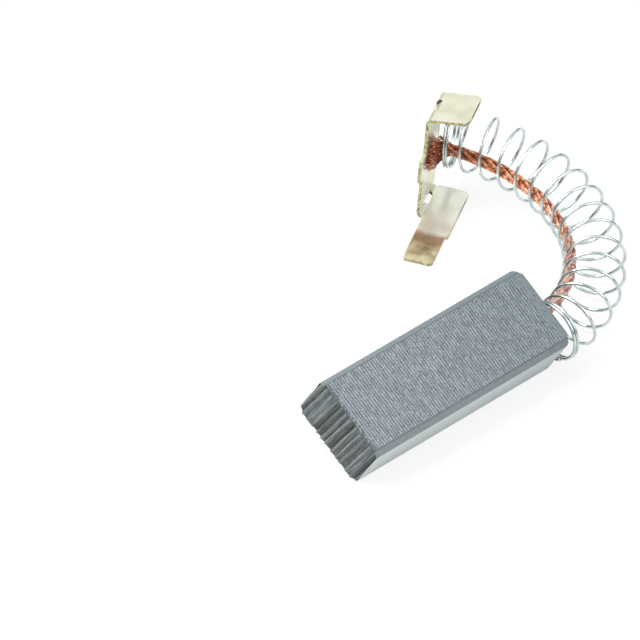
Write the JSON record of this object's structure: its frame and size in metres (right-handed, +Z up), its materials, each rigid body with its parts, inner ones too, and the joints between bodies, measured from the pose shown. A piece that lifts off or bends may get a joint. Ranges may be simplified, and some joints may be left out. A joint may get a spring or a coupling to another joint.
{
  "type": "carbon brush",
  "caption": "Carbon brush for a small motor: ribbed carbon block with a bedded contact end, copper shunt inside a coil spring, and a pierced brass cap with a tongue.",
  "frame": {"origin": "middle of the brush's footprint on the bench, at bench height", "axes": "+X along the block from its contact end to the spring end, +Z up from the bench, +Y towards the cap that lies beside the block"},
  "size_m": [0.0504, 0.0362, 0.0136],
  "materials": {
    "carbon": "fine ribbed, matt grey electrographite",
    "copper_powder": "tamped copper powder, matt",
    "copper": "bare stranded copper, soft sheen",
    "spring_steel": "bright drawn spring wire",
    "cap_brass": "pale plated brass strip, satin"
  },
  "bodies": {
    "root": {"carbon_block": "carbon", "tamping_plug": "copper_powder", "pigtail": "copper", "spring": "spring_steel", "clip": "cap_brass"}
  },
  "joints": []
}
